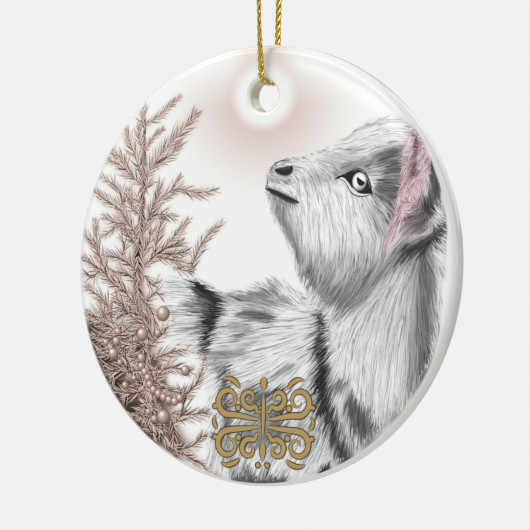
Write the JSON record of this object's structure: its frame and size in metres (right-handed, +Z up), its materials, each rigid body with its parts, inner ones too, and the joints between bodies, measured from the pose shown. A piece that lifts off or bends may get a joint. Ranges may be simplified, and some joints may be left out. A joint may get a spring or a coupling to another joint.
{
  "type": "hanging ceramic disc ornament",
  "caption": "Round glazed ceramic disc with a printed winter picture on its face, hung from a knotted loop of twisted gold cord threaded through a hole near its rim.",
  "frame": {"origin": "hang point: the crotch of the cord loop just under its knot, where a hook or twig bears", "axes": "+Z up along the hanging line, -Y the way the printed face looks, +X to the right of the picture"},
  "size_m": [0.073, 0.0083, 0.1345],
  "materials": {
    "glaze": "glossy white glaze",
    "print": "thin clear polymer coat with a dye print, glossy",
    "gold_cord": "twisted cord of metallised gold film yarn"
  },
  "bodies": {
    "hanger": {"cord_knot": "gold_cord", "tail_front": "gold_cord", "tail_back": "gold_cord"},
    "loop": {"strand_front": "gold_cord", "strand_back": "gold_cord"},
    "lip_turn": {"cord_bight": "gold_cord"},
    "disc": {"ceramic_disc": "glaze", "print_coat": "print"}
  },
  "joints": [
    {"name": "turn", "type": "hinge", "parent": "hanger", "child": "loop", "pos_m": [0, 0, 0], "axis": [0, 0, 1], "range_deg": [-150, 150], "stiffness_Nm_per_rad": 0.0001, "deforming": ["strand_front", "strand_back"]},
    {"name": "nod", "type": "hinge", "parent": "loop", "child": "lip_turn", "pos_m": [0, 0, -0.0568], "axis": [1, 0, 0], "range_deg": [-3, 7], "deforming": ["cord_bight"]},
    {"name": "rock", "type": "hinge", "parent": "lip_turn", "child": "disc", "pos_m": [0, 0, -0.0568], "axis": [0, 1, 0], "range_deg": [-45, 45]}
  ]
}
